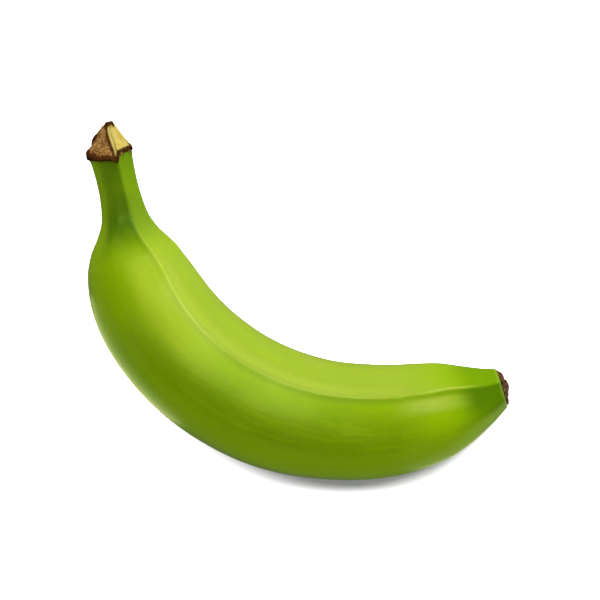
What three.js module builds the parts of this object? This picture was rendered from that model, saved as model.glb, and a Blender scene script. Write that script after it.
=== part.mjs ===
// A green plantain, lying on its side on a level surface. Millimetres, +Z up.
// The bend lies level: the stalk points to +Y and the blossom end to +X.
// The origin is on the surface, under the middle of the fruit's outline box.
// The fruit grew as one piece, so it is one closed mesh: rings along a bent centreline,
// closed at one end by the torn crown and at the other by the blossom scar.

import * as THREE from 'three';

// Centreline from the crown's rim to the blossom end, seen from above: its heading at the rim,
// and the length and turn of the stalk, the shoulder, the body and the tip. Angles in degrees.
const START_HEADING = -79;
const STRETCHES = [
  { length: 45, turn: 1 },
  { length: 30, turn: 26 },
  { length: 108, turn: 62 },
  { length: 42, turn: 15 },
];
const FRUIT_LENGTH = STRETCHES.reduce((sum, stretch) => sum + stretch.length, 0);

// Tables give a value at a distance from the rim, and run smoothly between their rows.
const HALF_WIDTH = [
  [0, 8.5], [5, 8], [12, 7.8], [20, 8.3], [27, 9.5], [33, 12.3], [38, 15.7], [43, 18.4],
  [49, 20.6], [56, 22.4], [65, 23.7], [80, 24.7], [98, 25.4], [112, 25.5], [130, 25.3],
  [155, 24.1], [172, 23.3], [186, 21.8], [196, 20.1], [204, 17.8], [211, 14.7], [218, 11.3],
  [225, 8],
];

// How far the middle of a section lies to the inside of the bend from the centreline
const SIDE_SHIFT = [
  [0, 0.1], [20, 0.1], [28, -0.1], [36, -0.5], [44, -0.1], [90, -0.2], [128, -0.1], [160, 0.45],
  [180, 0.1], [196, 0.15], [204, 0.35], [212, 0], [220, -0.4], [225, -0.3],
];
const SLOPE = [[0, -18], [22, -16], [40, -7], [56, 0], [62, 0], [182, 0], [188, 0], [225, 3]];
const DEPTH_SHARE = 0.95;

// How far the sections near the blossom end lean out on the inner side, in degrees
const END_LEAN = [[0, 0], [200, 0], [225, 8]];

// Lengthwise ridges with a nearly flat face between each two. Angle 0 is up, 90 the inner side.
const RIDGE_COUNT = 7;
const RIDGE_STEP = 360 / RIDGE_COUNT;
const FIRST_RIDGE = 27;
const RIDGE_TWIST = [[0, -11], [6, -7], [25, -5], [48, 3], [90, 0], [200, -2], [225, -4]];
const FACE_FLATNESS = [[0, 14], [30, 12], [60, 7], [170, 7], [205, 9], [225, 14]];
const CREST_HEIGHTS = [0.06, 0.2, 0.3, 0, 0.3, 0.15, 0.05];
const CREST_HALF_WIDTH = 1;

// The upper ridge is keener than the others, and on the body it is a low step:
// the skin drops on its outer side, and slowly rises again.
const UPPER_RIDGE_KEENNESS = 11;
const UPPER_RIDGE_SPREAD = 15;
const STEP_DEPTH = [
  [0, 0], [40, 0.08], [80, 0.18], [110, 0.25], [180, 0.25], [205, 0.17], [225, 0.05],
];
const STEP_PLACE = -1.5;
const STEP_DROP = 1.1;
const STEP_RISE = 6;

// The fruit rests on three low spots of its underside, round its weight, and is clear of the
// surface between them.
const REST_FROM = 62;
const REST_TO = 182;
const REST_EASE = 20;
const LOW_SPOT_SPACING = 60;
const LOW_SPOT_DEPTH = 0.5;

// Torn crown, at angles round the stalk: height of the peel's end above the first section,
// height of the crown's torn edge, and how far its two torn faces are hollow
const PEEL_END = [
  [-180, 0], [-90, -0.8], [-47, -0.3], [-27, -0.5], [2, -1], [16, -2.4], [28, 0.4], [50, 1],
  [74, 0.4], [110, 0], [180, 0],
];
const CROWN_EDGE = [
  [-180, 11.2], [-164, 9.4], [-153, 7.9], [-128, 6.2], [-121, 3.5], [-90, 3.3], [-63, 1.7],
  [-44, 1.1], [-8, 0.5], [16, -0.9], [22, 1.4], [30, 2.4], [64, 2.9], [90, 1.6], [103, 1],
  [135, 2.6], [152, 6.6], [160, 9.3], [170, 10.9], [180, 11.2],
];
const CROWN_HOLLOW = [[-180, 0], [-95, 0], [-40, 1.6], [16, 0], [55, 1.2], [100, 0], [180, 0]];
const CROWN_PEAK = { inward: 0.2, up: -0.8, height: 11.9 };

// How fast the torn faces rise to the peak at each angle: slowly at first where it is over 1.
// They reach the peak's height a little before the peak, which is blunt.
const CROWN_RISE = [
  [-180, 0.75], [-135, 0.85], [-124, 1.2], [-90, 1.3], [-60, 1], [16, 1], [35, 1.35], [75, 1.5],
  [105, 1.2], [150, 0.8], [180, 0.75],
];
const PEAK_SHARE = 0.82;

// The crown's wall, from the peel's end to the torn edge: shares of its height, and its size as
// a share of the stalk's. It flares a little more on the outer side of the bend.
const CROWN_WALL = [
  { share: 0.3, spread: 1.05 },
  { share: 0.7, spread: 1.05 },
  { share: 1, spread: 1 },
];
const CROWN_FLARE = 0.05;
const FLARE_SHARPNESS = 4;
const CROWN_FACE_SHARES = [0.12, 0.3, 0.5, 0.68, PEAK_SHARE];

// Blossom scar: rings from the green margin over the dry lumpy knob, as shares of the end's size.
const SCAR_RINGS = [
  { spread: 0.985, height: 0.3 },
  { spread: 0.92, height: 0 },
  { spread: 0.88, height: 1.1 },
  { spread: 0.75, height: 2.2 },
  { spread: 0.56, height: 2.9 },
  { spread: 0.33, height: 3.2 },
  { spread: 0.12, height: 3.2 },
];
const SCAR_TOP = 3.2;

// The knob stands higher on the inner side of the bend than on the outer side.
const SCAR_LEAN = 0.35;
const SCAR_LUMPS = { height: 0.35, spread: 0.09, round: 3, phasePerSpread: 290 };

// Spacing of the rings, closer where the form changes fast, and of the points round them
const RING_SPACING = [{ to: 60, step: 3 }, { to: 188, step: 4 }, { to: FRUIT_LENGTH, step: 2.4 }];
const STEPS_PER_FACE = 6;
const SIDES = RIDGE_COUNT * STEPS_PER_FACE;
const RIDGE_CROWDING = 0.075;
const WALK_STEP = 0.5;

const cosDegrees = (angle) => Math.cos(THREE.MathUtils.degToRad(angle));
const sinDegrees = (angle) => Math.sin(THREE.MathUtils.degToRad(angle));
const wrapDegrees = (angle) => THREE.MathUtils.euclideanModulo(angle + 180, 360) - 180;

function tangentAt(table, index) {
  const before = table[Math.max(index - 1, 0)];
  const after = table[Math.min(index + 1, table.length - 1)];
  return (after[1] - before[1]) / (after[0] - before[0]);
}

// Value of a table at a place, on a smooth cubic through its rows
function smoothValue(table, place) {
  const last = table.length - 1;
  const at = THREE.MathUtils.clamp(place, table[0][0], table[last][0]);
  let row = 0;
  while (row < last - 1 && table[row + 1][0] <= at) row += 1;
  const span = table[row + 1][0] - table[row][0];
  const t = (at - table[row][0]) / span;
  const ease = t * t * (3 - 2 * t);
  const startSlope = t * (1 - t) * (1 - t) * span * tangentAt(table, row);
  const endSlope = t * t * (t - 1) * span * tangentAt(table, row + 1);
  return table[row][1] * (1 - ease) + table[row + 1][1] * ease + startSlope + endSlope;
}

// Value of a table at a place, on straight lines between its rows
function straightValue(table, place) {
  let row = 0;
  while (row < table.length - 2 && table[row + 1][0] <= place) row += 1;
  const t = (place - table[row][0]) / (table[row + 1][0] - table[row][0]);
  return THREE.MathUtils.lerp(table[row][1], table[row + 1][1], t);
}

function headingAt(distance) {
  let heading = START_HEADING;
  let start = 0;
  for (const { length, turn } of STRETCHES) {
    heading += turn * THREE.MathUtils.clamp((distance - start) / length, 0, 1);
    start += length;
  }
  return heading;
}

// Distance from the centreline to the skin
function skinReach(angle, distance) {
  const halfWidth = smoothValue(HALF_WIDTH, distance);
  const fullness = halfWidth / smoothValue(HALF_WIDTH, FRUIT_LENGTH / 2);
  const fromFirst = angle - FIRST_RIDGE - smoothValue(RIDGE_TWIST, distance);
  const fromUpperRidge = wrapDegrees(fromFirst);
  const keenness = UPPER_RIDGE_KEENNESS * Math.exp(-((fromUpperRidge / UPPER_RIDGE_SPREAD) ** 2));
  const flatness = smoothValue(FACE_FLATNESS, distance) + keenness;
  let faces = 0;
  let crest = 0;
  CREST_HEIGHTS.forEach((height, index) => {
    const fromRidge = wrapDegrees(fromFirst - index * RIDGE_STEP);
    faces += Math.max(0, cosDegrees(fromRidge - RIDGE_STEP / 2)) ** flatness;
    const offset = halfWidth * THREE.MathUtils.degToRad(fromRidge) / CREST_HALF_WIDTH;
    crest += height * fullness * Math.exp(-offset * offset);
  });
  const pastStep = halfWidth * THREE.MathUtils.degToRad(fromUpperRidge) - STEP_PLACE;
  const stepWidth = pastStep > 0 ? STEP_DROP : STEP_RISE;
  const step = smoothValue(STEP_DEPTH, distance) * Math.exp(-((pastStep / stepWidth) ** 2));
  return halfWidth * faces ** (-1 / flatness) + crest - step;
}

// Angles of a ring's points, which lie closer together near the ridges
function ringAngles(distance) {
  const first = FIRST_RIDGE + smoothValue(RIDGE_TWIST, distance);
  return Array.from({ length: SIDES }, (_, index) => {
    const step = index / STEPS_PER_FACE;
    const crowded = step - RIDGE_CROWDING * Math.sin(2 * Math.PI * step);
    return wrapDegrees(first + crowded * RIDGE_STEP);
  });
}

function reachDown(distance) {
  return Math.max(...ringAngles(distance).map(
    (angle) => -cosDegrees(angle) * DEPTH_SHARE * skinReach(angle, distance),
  ));
}

// Rises gently from zero over REST_EASE, then as fast as the amount
function easedPast(amount) {
  const eased = THREE.MathUtils.clamp(amount, 0, REST_EASE);
  return eased * eased / (2 * REST_EASE) + Math.max(0, amount - REST_EASE);
}

// Height of the centreline over the stretch that rests on the surface, kept level past its ends
function restingHeight(distance) {
  const before = easedPast(distance - REST_FROM + REST_EASE);
  const after = easedPast(distance - REST_TO);
  const resting = REST_FROM - REST_EASE / 2 + before - after;
  const wave = Math.cos(2 * Math.PI * (resting - REST_FROM) / LOW_SPOT_SPACING);
  return reachDown(resting) - LOW_SPOT_DEPTH * wave;
}

// Directions of a section: along the fruit, inward to the inside of the bend, and up;
// and its lean and its shift to the inside
function sectionAt(distance, origin) {
  const heading = headingAt(distance);
  const slope = smoothValue(SLOPE, distance);
  const forward = new THREE.Vector3(
    cosDegrees(heading) * cosDegrees(slope),
    sinDegrees(heading) * cosDegrees(slope),
    sinDegrees(slope),
  );
  const inward = new THREE.Vector3(-sinDegrees(heading), cosDegrees(heading), 0);
  const up = new THREE.Vector3().crossVectors(forward, inward);
  const lean = Math.tan(THREE.MathUtils.degToRad(smoothValue(END_LEAN, distance)));
  const shift = smoothValue(SIDE_SHIFT, distance);
  return { distance, origin, forward, inward, up, lean, shift };
}

function ringDistances() {
  const distances = [0];
  let start = 0;
  for (const { to, step } of RING_SPACING) {
    const span = to - start;
    const count = Math.round(span / step);
    for (let index = 1; index <= count; index += 1) distances.push(start + span * index / count);
    start = to;
  }
  return distances;
}

// Walks the centreline in small steps, and gives the section at each ring
function walkCentreline() {
  const place = new THREE.Vector3();
  const sections = [];
  let travelled = 0;
  for (const distance of ringDistances()) {
    const steps = Math.ceil((distance - travelled) / WALK_STEP);
    const step = (distance - travelled) / steps;
    for (let index = 0; index < steps; index += 1) {
      place.addScaledVector(sectionAt(travelled + step / 2).forward, step);
      travelled += step;
    }
    sections.push(sectionAt(distance, place.clone()));
  }
  const level = sections.find((section) => section.distance >= REST_FROM).origin.z;
  for (const section of sections) section.origin.z += restingHeight(section.distance) - level;
  return sections;
}

// A point of a section: across and up in the section's plane, and out along the fruit
function placeInSection(section, across, high, out) {
  const point = section.origin.clone();
  point.addScaledVector(section.inward, section.shift + across);
  point.addScaledVector(section.up, high);
  point.addScaledVector(section.forward, out + across * section.lean);
  point.z = Math.max(0, point.z);
  return point;
}

// A point on the skin's outline scaled by spread, moved out along the fruit
function skinPoint(section, angle, spread = 1, out = 0) {
  const reach = skinReach(angle, section.distance) * spread;
  const high = reach * cosDegrees(angle) * DEPTH_SHARE;
  return placeInSection(section, reach * sinDegrees(angle), high, out);
}

function bodyRing(section) {
  const atRim = section.distance === 0;
  return ringAngles(section.distance).map(
    (angle) => skinPoint(section, angle, 1, atRim ? -straightValue(PEEL_END, angle) : 0),
  );
}

// A ring on the crown's wall, from the peel's end up to the torn edge, flared on the outer side
function crownWallRing(section, { share, spread }) {
  return ringAngles(section.distance).map((angle) => {
    const height = THREE.MathUtils.lerp(
      straightValue(PEEL_END, angle), straightValue(CROWN_EDGE, angle), share);
    const flare = CROWN_FLARE * Math.max(0, -sinDegrees(angle)) ** FLARE_SHARPNESS;
    return skinPoint(section, angle, spread + flare, -height);
  });
}

function crownPeak(section) {
  const { inward, up, height } = CROWN_PEAK;
  const size = HALF_WIDTH[0][1];
  return placeInSection(section, inward * size, up * size, -height);
}

// A ring on the torn faces, between the crown's edge and its peak
function crownFaceRing(section, share) {
  const peak = crownPeak(section);
  const edge = crownWallRing(section, CROWN_WALL[CROWN_WALL.length - 1]);
  return ringAngles(section.distance).map((angle, index) => {
    const hollow = 4 * share * (1 - share) * straightValue(CROWN_HOLLOW, angle);
    const rise = Math.min(1, share / PEAK_SHARE) ** straightValue(CROWN_RISE, angle);
    const edgeToPeak = edge[index].clone().sub(peak).dot(section.forward);
    const lift = (rise - share) * edgeToPeak;
    return edge[index].lerp(peak, share).addScaledVector(section.forward, hollow - lift);
  });
}

function scarRing(section, { spread, height }) {
  return ringAngles(section.distance).map((angle) => {
    const { round, phasePerSpread } = SCAR_LUMPS;
    const lump = sinDegrees(round * angle + phasePerSpread * spread) * (1 - spread);
    const lumpySpread = spread + SCAR_LUMPS.spread * lump;
    const leaning = 1 + SCAR_LEAN * spread * sinDegrees(angle);
    return skinPoint(section, angle, lumpySpread, height * leaning + SCAR_LUMPS.height * lump);
  });
}

// Faces between neighbouring rings, and a fan to the point at each end
function fruitGeometry(rings, firstPoint, lastPoint) {
  const points = [firstPoint, ...rings.flat(), lastPoint];
  const pointIndex = (ring, side) => 1 + ring * SIDES + side % SIDES;
  const lastRing = rings.length - 1;
  const lastIndex = points.length - 1;
  const faces = [];
  for (let side = 0; side < SIDES; side += 1) {
    faces.push(0, pointIndex(0, side), pointIndex(0, side + 1));
    for (let ring = 0; ring < lastRing; ring += 1) {
      const [a, b] = [pointIndex(ring, side), pointIndex(ring, side + 1)];
      const [c, d] = [pointIndex(ring + 1, side), pointIndex(ring + 1, side + 1)];
      faces.push(a, c, b, b, c, d);
    }
    faces.push(pointIndex(lastRing, side), lastIndex, pointIndex(lastRing, side + 1));
  }
  const geometry = new THREE.BufferGeometry().setFromPoints(points);
  geometry.setIndex(faces);
  return geometry;
}

// Moves the geometry so that the middle of its outline box is over the origin
function centreOnOrigin(geometry) {
  geometry.computeBoundingBox();
  const middle = geometry.boundingBox.getCenter(new THREE.Vector3());
  geometry.translate(-middle.x, -middle.y, 0);
}

function makePlantain() {
  const sections = walkCentreline();
  const stalkEnd = sections[0];
  const blossomEnd = sections[sections.length - 1];
  const rings = [
    ...CROWN_FACE_SHARES.map((share) => crownFaceRing(stalkEnd, share)).reverse(),
    ...CROWN_WALL.map((ring) => crownWallRing(stalkEnd, ring)).reverse(),
    ...sections.map(bodyRing),
    ...SCAR_RINGS.map((ring) => scarRing(blossomEnd, ring)),
  ];
  const scarTop = placeInSection(blossomEnd, 0, 0, SCAR_TOP);
  const geometry = fruitGeometry(rings, crownPeak(stalkEnd), scarTop);
  centreOnOrigin(geometry);
  geometry.computeVertexNormals();
  const material = new THREE.MeshStandardMaterial({ color: 0x84ad1a, roughness: 0.42, metalness: 0 });
  const plantain = new THREE.Mesh(geometry, material);
  plantain.name = 'plantain';
  return plantain;
}

const group = new THREE.Group();
group.add(makePlantain());

export default group;
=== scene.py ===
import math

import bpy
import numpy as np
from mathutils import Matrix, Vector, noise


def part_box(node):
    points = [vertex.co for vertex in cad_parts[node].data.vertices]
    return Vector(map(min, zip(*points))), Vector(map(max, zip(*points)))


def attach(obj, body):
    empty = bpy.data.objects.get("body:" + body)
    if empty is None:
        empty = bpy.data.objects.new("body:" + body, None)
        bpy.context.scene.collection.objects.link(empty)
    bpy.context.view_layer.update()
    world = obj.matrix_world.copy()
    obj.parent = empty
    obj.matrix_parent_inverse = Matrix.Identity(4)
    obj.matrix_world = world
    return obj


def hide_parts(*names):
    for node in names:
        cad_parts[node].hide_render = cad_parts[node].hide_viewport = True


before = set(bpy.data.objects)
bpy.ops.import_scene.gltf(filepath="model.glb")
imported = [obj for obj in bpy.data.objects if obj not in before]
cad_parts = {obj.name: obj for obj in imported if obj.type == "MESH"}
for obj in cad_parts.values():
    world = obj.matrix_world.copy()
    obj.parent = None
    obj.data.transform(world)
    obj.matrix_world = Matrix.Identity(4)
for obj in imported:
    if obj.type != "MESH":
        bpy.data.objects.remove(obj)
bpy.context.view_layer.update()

# A green plantain that lies on its side on a pale floor, seen from above.
# The fine surface follows the same formulas as the part's solid. Lengths of the fruit and the
# camera's place are in millimetres, and those of the floor and the lights in metres.

METRES = 0.001
MM_PER_CM = 10

# Centreline from the crown's rim to the blossom end: its heading at the rim in degrees,
# and the (length, turn) of the stalk, the shoulder, the body and the tip
START_HEADING = -79
STRETCHES = [(45, 1), (30, 26), (108, 62), (42, 15)]
FRUIT_LENGTH = sum(length for length, turn in STRETCHES)
WALK_STEP = 0.25

# Tables give a value at a distance from the rim, and run smoothly between their rows.
HALF_WIDTH = [
    (0, 8.5), (5, 8), (12, 7.8), (20, 8.3), (27, 9.5), (33, 12.3), (38, 15.7), (43, 18.4),
    (49, 20.6), (56, 22.4), (65, 23.7), (80, 24.7), (98, 25.4), (112, 25.5), (130, 25.3),
    (155, 24.1), (172, 23.3), (186, 21.8), (196, 20.1), (204, 17.8), (211, 14.7), (218, 11.3),
    (225, 8),
]
# How far the middle of a section lies to the inside of the bend from the centreline
SIDE_SHIFT = [
    (0, 0.1), (20, 0.1), (28, -0.1), (36, -0.5), (44, -0.1), (90, -0.2), (128, -0.1), (160, 0.45),
    (180, 0.1), (196, 0.15), (204, 0.35), (212, 0), (220, -0.4), (225, -0.3),
]
# Slope of the centreline, the fruit's depth as a share of its width, and how far the sections
# near the blossom end lean out on the inner side
SLOPE = [(0, -18), (22, -16), (40, -7), (56, 0), (62, 0), (182, 0), (188, 0), (225, 3)]
DEPTH_SHARE = 0.95
END_LEAN = [(0, 0), (200, 0), (225, 8)]

# Lengthwise ridges with a nearly flat face between each two. Angle 0 is up, 90 the inner side.
RIDGE_COUNT = 7
RIDGE_STEP = 360 / RIDGE_COUNT
FIRST_RIDGE = 27
RIDGE_TWIST = [(0, -11), (6, -7), (25, -5), (48, 3), (90, 0), (200, -2), (225, -4)]
FACE_FLATNESS = [(0, 14), (30, 12), (60, 7), (170, 7), (205, 9), (225, 14)]
CREST_HEIGHTS = [0.06, 0.2, 0.3, 0, 0.3, 0.15, 0.05]
CREST_HALF_WIDTH = 1.0

# The upper ridge is keener than the others, and on the body it is a low step:
# the skin drops on its outer side, and slowly rises again.
UPPER_RIDGE_KEENNESS = 11
UPPER_RIDGE_SPREAD = 15
STEP_DEPTH = [(0, 0), (40, 0.08), (80, 0.18), (110, 0.25), (180, 0.25), (205, 0.17), (225, 0.05)]
STEP_PLACE = -1.5
STEP_DROP = 1.1
STEP_RISE = 6.0

# Uneven growth: slow swells of the skin, mostly inwards, and faint lengthwise wrinkles
SWELL_HEIGHT = 0.28
SWELL_LENGTH = 26
SWELL_SINK = 0.6
WRINKLE_HEIGHT = 0.05
WRINKLE_LENGTH = 30
WRINKLE_WIDTH = 1.6

# The fruit rests on three low spots of its underside, round its weight, and is clear of the
# floor between them.
REST_FROM = 62
REST_TO = 182
REST_EASE = 20
LOW_SPOT_SPACING = 60
LOW_SPOT_DEPTH = 0.5

# Torn crown, at angles round the stalk: height of the peel's end above the first section,
# height of the crown's torn edge, how far its two torn faces are hollow, and how soon they rise
PEEL_END = [
    (-180, 0), (-90, -0.8), (-47, -0.3), (-27, -0.5), (2, -1), (16, -2.4), (28, 0.4), (50, 1),
    (74, 0.4), (110, 0), (180, 0),
]
CROWN_EDGE = [
    (-180, 11.2), (-164, 9.4), (-153, 7.9), (-128, 6.2), (-121, 3.5), (-90, 3.3), (-63, 1.7),
    (-44, 1.1), (-8, 0.5), (16, -0.9), (22, 1.4), (30, 2.4), (64, 2.9), (90, 1.6), (103, 1),
    (135, 2.6), (152, 6.6), (160, 9.3), (170, 10.9), (180, 11.2),
]
CROWN_HOLLOW = [(-180, 0), (-95, 0), (-40, 1.6), (16, 0), (55, 1.2), (100, 0), (180, 0)]
CROWN_RISE = [
    (-180, 0.75), (-135, 0.85), (-124, 1.2), (-90, 1.3), (-60, 1), (16, 1), (35, 1.35), (75, 1.5),
    (105, 1.2), (150, 0.8), (180, 0.75),
]
CROWN_CREST_ANGLE = 16
# Place of the peak: inward and up in the stalk's half widths, and its height in millimetres.
# The faces have risen to it at this share of the way from the torn edge.
CROWN_PEAK = {"inward": 0.2, "up": -0.8, "height": 11.9}
PEAK_SHARE = 0.82
# Width of the crown's wall from the peel's end to the torn edge, flared on the outer side
WALL_SPREAD = [(0, 1), (0.12, 1.045), (0.3, 1.055), (0.7, 1.05), (0.9, 1.03), (1, 0.99)]
CROWN_FLARE = 0.05
FLARE_SHARPNESS = 4

# Ragged edges, whose skin is even again after a short length, and the wall's roughness
RAGGED_EDGE = 0.45
RAGGED_PEEL_END = 0.22
RAGGED_WAVES = (4, 11)
FINE_RAGGED_SHARE = 0.7
RAGGED_LENGTH = 3
WALL_ROUGHNESS = 0.12
WALL_ROUGH_WIDTH = 0.9
WALL_ROUGH_LENGTH = 1.6

# Relief of the torn faces: curls on the outer side of the crest, and fibres on its inner side.
# The fibres' spacing and the blend between the two are angles.
TORN_RELIEF_HEIGHT = 0.5
CURL_WAVES = (0.75, 1.7)
FINE_CURL_SHARE = 0.5
FIBRE_SPACING = 5
FIBRE_WAVES = 2
FIBRE_SHARE = 0.35
RELIEF_BLEND = 12

# Blossom scar, by levels from the green margin over the dry knob: shares of the end's size,
# and heights
SCAR_SPREAD = [(0, 0.985), (1, 0.9), (2, 0.84), (3, 0.64), (4, 0.44), (5, 0.27), (6, 0.11)]
SCAR_HEIGHT = [(0, 0.3), (1, 0.0), (2, 1.0), (3, 1.7), (4, 2.6), (5, 3.1), (6, 3.2)]
SCAR_TOP = 3.2
SCAR_MARGIN_LEVEL = 1
SCAR_TOP_LEVEL = 6
# The knob stands higher on the inner side of the bend than on the outer side.
SCAR_LEAN = 0.05
# Its lumps are uneven in height, and those on its side also bulge outwards.
SCAR_LUMP_HEIGHT = 0.8
SCAR_LUMP_SIZE = 1.8
SCAR_LUMP_WAVES = (1, 2)
FINE_LUMP_SHARE = 0.4
LUMP_BULGE = 0.5
BULGING_SHARE = 0.7

# Each kind of unevenness has its own part of the noise, or two parts where it is coarse and
# fine, and this far from the last one.
SEED_STEP = (17.3, 5.1, 9.7)
SWELL_SEED = 1
WRINKLE_SEED = 2
PEEL_END_SEED = 3
CROWN_EDGE_SEED = 5
WALL_SEED = 7
CURL_SEED = 8
FIBRE_SEED = 10
SCAR_LUMP_SEED = 11

# Rings of points run from the crown's peak over its torn faces and its wall, along the peel, and
# over the scar. Their points lie closer together near the ridges. The peel's rings have a
# spacing up to each distance.
RING_SPACING = [(8, 0.4), (60, 0.55), (190, 0.62), (FRUIT_LENGTH, 0.42)]
FACE_RINGS = 30
WALL_RINGS = 9
SCAR_RINGS = 26
FACE_SHARES = np.arange(FACE_RINGS, 0, -1) / (FACE_RINGS + 1)
WALL_SHARES = np.arange(WALL_RINGS, 0, -1) / WALL_RINGS
SCAR_LEVELS = np.linspace(0, SCAR_TOP_LEVEL, SCAR_RINGS)
STEPS_PER_FACE = 26
SIDES = RIDGE_COUNT * STEPS_PER_FACE
RIDGE_CROWDING = 0.075

# Places of the materials in the fruit's list
PEEL, CROWN, SCAR = range(3)


def cos_degrees(angle):
    return np.cos(np.radians(angle))


def sin_degrees(angle):
    return np.sin(np.radians(angle))


def wrap_degrees(angle):
    return np.mod(angle + 180, 360) - 180


def smooth_value(table, place):
    """Value of a table at each place, on a smooth cubic through its rows"""
    places, values = np.array(table, dtype=float).T
    slopes = np.empty_like(values)
    slopes[1:-1] = (values[2:] - values[:-2]) / (places[2:] - places[:-2])
    slopes[0] = (values[1] - values[0]) / (places[1] - places[0])
    slopes[-1] = (values[-1] - values[-2]) / (places[-1] - places[-2])
    at = np.clip(place, places[0], places[-1])
    row = np.clip(np.searchsorted(places, at, side="right") - 1, 0, len(places) - 2)
    span = places[row + 1] - places[row]
    share = (at - places[row]) / span
    left = 1 - share
    ease = share * share * (3 - 2 * share)
    leaving = share * left * left * span * slopes[row]
    arriving = share * share * -left * span * slopes[row + 1]
    return values[row] * (1 - ease) + values[row + 1] * ease + leaving + arriving


def straight_value(table, place):
    """Value of a table at each place, on straight lines between its rows"""
    places, values = np.array(table, dtype=float).T
    return np.interp(place, places, values)


def fullness_at(distance):
    """Half width as a share of that in the middle of the fruit"""
    return smooth_value(HALF_WIDTH, distance) / smooth_value(HALF_WIDTH, FRUIT_LENGTH / 2)


def heading_at(distance):
    heading = np.full_like(distance, START_HEADING, dtype=float)
    start = 0
    for length, turn in STRETCHES:
        heading += turn * np.clip((distance - start) / length, 0, 1)
        start += length
    return heading


def directions_at(distance):
    """Directions of each section: along the fruit, inward to the inside of the bend, and up"""
    heading = heading_at(distance)
    slope = smooth_value(SLOPE, distance)
    forward = np.stack([
        cos_degrees(heading) * cos_degrees(slope),
        sin_degrees(heading) * cos_degrees(slope),
        sin_degrees(slope),
    ], axis=-1)
    inward = np.stack([-sin_degrees(heading), cos_degrees(heading), np.zeros_like(heading)], axis=-1)
    return forward, inward, np.cross(forward, inward)


def noise_field(points, seed):
    """Smooth noise from -1 to 1 at each point of an array, the same on each run"""
    shift = Vector([seed * step for step in SEED_STEP])
    flat = points.reshape(-1, 3)
    values = [noise.noise(Vector(point) + shift) for point in flat]
    return np.array(values).reshape(points.shape[:-1])


def rough_noise(points, waves, fine_share, seed):
    """Coarse noise and a share of fine noise, with so many waves of each per unit"""
    coarse_waves, fine_waves = waves
    coarse = noise_field(points * coarse_waves, seed)
    fine = noise_field(points * fine_waves, seed + 1)
    return coarse + fine_share * fine


def straightened(angle, distance, width=1.0, length=1.0):
    """Each skin point's place on the straightened fruit, in units of width and length"""
    reach = smooth_value(HALF_WIDTH, distance)
    along = distance + 0 * angle
    return np.stack([
        along / length,
        reach * sin_degrees(angle) / width,
        reach * cos_degrees(angle) / width,
    ], axis=-1)


def ridge_offsets(angle, distance):
    """Distance round the skin from each ridge, one layer for each ridge"""
    half_width = smooth_value(HALF_WIDTH, distance)
    twist = smooth_value(RIDGE_TWIST, distance)
    ridges = FIRST_RIDGE + RIDGE_STEP * np.arange(RIDGE_COUNT)
    from_ridge = wrap_degrees(angle[None] - twist[None] - ridges[:, None, None])
    return half_width[None] * np.radians(from_ridge)


def skin_reach(angle, distance):
    """Distance from the centreline to the skin"""
    half_width = smooth_value(HALF_WIDTH, distance)
    offsets = ridge_offsets(angle, distance)
    from_ridge = np.degrees(offsets / half_width[None])
    keenness = UPPER_RIDGE_KEENNESS * np.exp(-(from_ridge[0] / UPPER_RIDGE_SPREAD) ** 2)
    flatness = smooth_value(FACE_FLATNESS, distance) + keenness
    from_face = from_ridge - RIDGE_STEP / 2
    faces = (np.maximum(0, cos_degrees(from_face)) ** flatness[None]).sum(axis=0)
    heights = np.array(CREST_HEIGHTS)[:, None, None]
    crests = (heights * np.exp(-(offsets / CREST_HALF_WIDTH) ** 2)).sum(axis=0)
    past_step = offsets[0] - STEP_PLACE
    step_width = np.where(past_step > 0, STEP_DROP, STEP_RISE)
    step = smooth_value(STEP_DEPTH, distance) * np.exp(-(past_step / step_width) ** 2)
    return half_width * faces ** (-1 / flatness) + crests * fullness_at(distance) - step


def skin_relief(angle, distance):
    """Slow swells and lengthwise wrinkles, none where the fruit rests"""
    swell_places = straightened(angle, distance, SWELL_LENGTH, SWELL_LENGTH)
    wrinkle_places = straightened(angle, distance, WRINKLE_WIDTH, WRINKLE_LENGTH)
    swell = noise_field(swell_places, SWELL_SEED) - SWELL_SINK
    wrinkle = noise_field(wrinkle_places, WRINKLE_SEED)
    camera_side = 0.5 + 0.5 * cos_degrees(angle)
    swell_height = SWELL_HEIGHT * fullness_at(distance)
    return camera_side * (swell_height * swell + WRINKLE_HEIGHT * wrinkle)


def ring_angles(distance):
    """Angles of a ring's points, which lie closer together near the ridges"""
    step = np.arange(SIDES) / STEPS_PER_FACE
    crowded = step - RIDGE_CROWDING * np.sin(2 * np.pi * step)
    first = FIRST_RIDGE + smooth_value(RIDGE_TWIST, distance)
    return wrap_degrees(first + crowded * RIDGE_STEP)


def eased_past(amount):
    """Rises gently from zero over REST_EASE, then as fast as the amount"""
    eased = np.clip(amount, 0, REST_EASE)
    return eased * eased / (2 * REST_EASE) + np.maximum(0, amount - REST_EASE)


def resting_height(distance):
    """Height of the centreline over the stretch that rests on the floor, level beyond its ends"""
    before = distance - REST_FROM + REST_EASE
    after = distance - REST_TO
    resting = (REST_FROM - REST_EASE / 2 + eased_past(before) - eased_past(after))[:, None]
    angles = ring_angles(resting)
    reach_down = (-cos_degrees(angles) * DEPTH_SHARE * skin_reach(angles, resting)).max(axis=1)
    wave = np.cos(2 * np.pi * (resting[:, 0] - REST_FROM) / LOW_SPOT_SPACING)
    return reach_down - LOW_SPOT_DEPTH * wave


def ring_distances():
    """Distances of the peel's rings, from the rim to the blossom end"""
    distances = [0.0]
    start = 0
    for end, step in RING_SPACING:
        count = round((end - start) / step)
        distances += [start + (end - start) * (index + 1) / count for index in range(count)]
        start = end
    return np.array(distances)


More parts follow.
